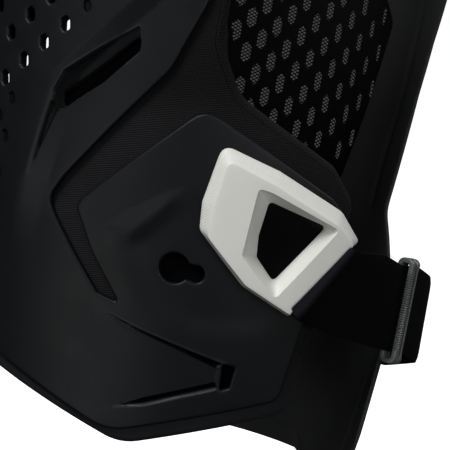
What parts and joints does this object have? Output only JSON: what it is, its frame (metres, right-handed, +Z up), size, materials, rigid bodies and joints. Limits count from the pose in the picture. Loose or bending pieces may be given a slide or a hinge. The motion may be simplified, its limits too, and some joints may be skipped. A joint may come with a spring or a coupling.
{
  "type": "roost deflector",
  "caption": "Off-road riding chest and back protector with a moulded chest plate, textile pads, a slotted back plate and off-white side clips on elastic straps.",
  "frame": {"origin": "midway between the undersides of the two shoulder straps at their highest point, where the object sits on the shoulders", "axes": "+Z up, -Y out of the chest, +X towards the wearer's left"},
  "size_m": [0.289, 0.2274, 0.4372],
  "materials": {
    "shell": "fine moulded grain, satin",
    "textile": "fine ribbed knit",
    "mesh": "fine perforated",
    "back_plate": "matte",
    "clip": "matte",
    "elastic": "knitted elastic",
    "slider": "satin",
    "webbing": "woven",
    "pin": "plain"
  },
  "bodies": {
    "root": {"front_shell": "shell", "front_pad": "textile", "back_shell": "back_plate", "back_pad": "textile", "back_mesh": "mesh", "side_clip_left": "clip", "side_clip_right": "clip", "clip_pin_left": "pin", "clip_pin_right": "pin", "side_strap_left": "elastic", "side_strap_right": "elastic", "strap_slider_left": "slider", "strap_slider_right": "slider", "shoulder_strap_left": "webbing", "shoulder_strap_right": "webbing"}
  },
  "joints": []
}
